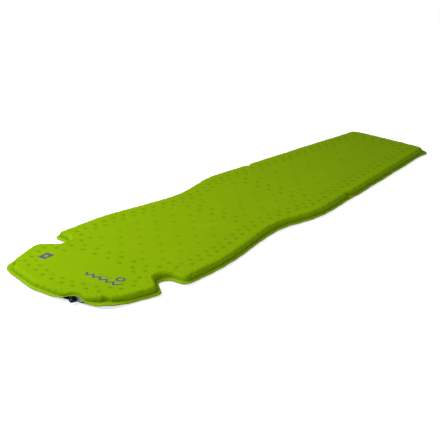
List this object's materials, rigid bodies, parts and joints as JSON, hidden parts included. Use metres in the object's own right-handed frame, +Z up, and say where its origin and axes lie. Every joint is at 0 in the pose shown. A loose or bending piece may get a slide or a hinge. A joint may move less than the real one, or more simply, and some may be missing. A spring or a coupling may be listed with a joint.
{
  "type": "self-inflating sleeping pad",
  "caption": "Tapered self-inflating camping mat: welded fabric covers over a die-cut foam core, shoulder notches and a screw valve in the head seam.",
  "frame": {"origin": "middle of the whole object's length and width, on the floor plane under the bottom cover", "axes": "+X along the pad towards the foot end, +Y towards the pad's left edge seen from above with the head at -X, +Z up through the thickness"},
  "size_m": [1.814, 0.5204, 0.0256],
  "materials": {
    "top_fabric": "coated polyester, lime green, fine weave",
    "bottom_fabric": "coated polyester, charcoal, fine weave",
    "foam": "open-cell polyurethane foam",
    "ink": "printed ink film",
    "grey_plastic": "moulded urethane, satin",
    "black_plastic": "moulded, satin",
    "black_rubber": "matt"
  },
  "bodies": {
    "pad": {"bottom_cover": "bottom_fabric", "top_cover": "top_fabric", "foam_core": "foam", "badge_print": "ink", "ridge_print": "ink", "rule_print": "ink", "hexagon_print": "ink", "valve_base": "grey_plastic", "valve_stem": "grey_plastic", "stem_o_ring": "black_rubber"},
    "plunger": {"valve_plunger": "grey_plastic", "seal_disc": "black_rubber"},
    "knob": {"valve_knob": "black_plastic"}
  },
  "joints": [
    {"name": "valve_lift", "type": "slide", "parent": "pad", "child": "plunger", "axis": [-0.9848, 0, 0.1736], "range_m": [0, 0.004]},
    {"name": "knob_turn", "type": "hinge", "parent": "plunger", "child": "knob", "pos_m": [-0.894, -0.102, 0.01325], "axis": [-0.9848, 0, 0.1736], "range_deg": [0, 360]}
  ],
  "couplings": [
    {"joint": "valve_lift", "follows": "knob_turn", "m_per_rad": 0.00063662}
  ]
}
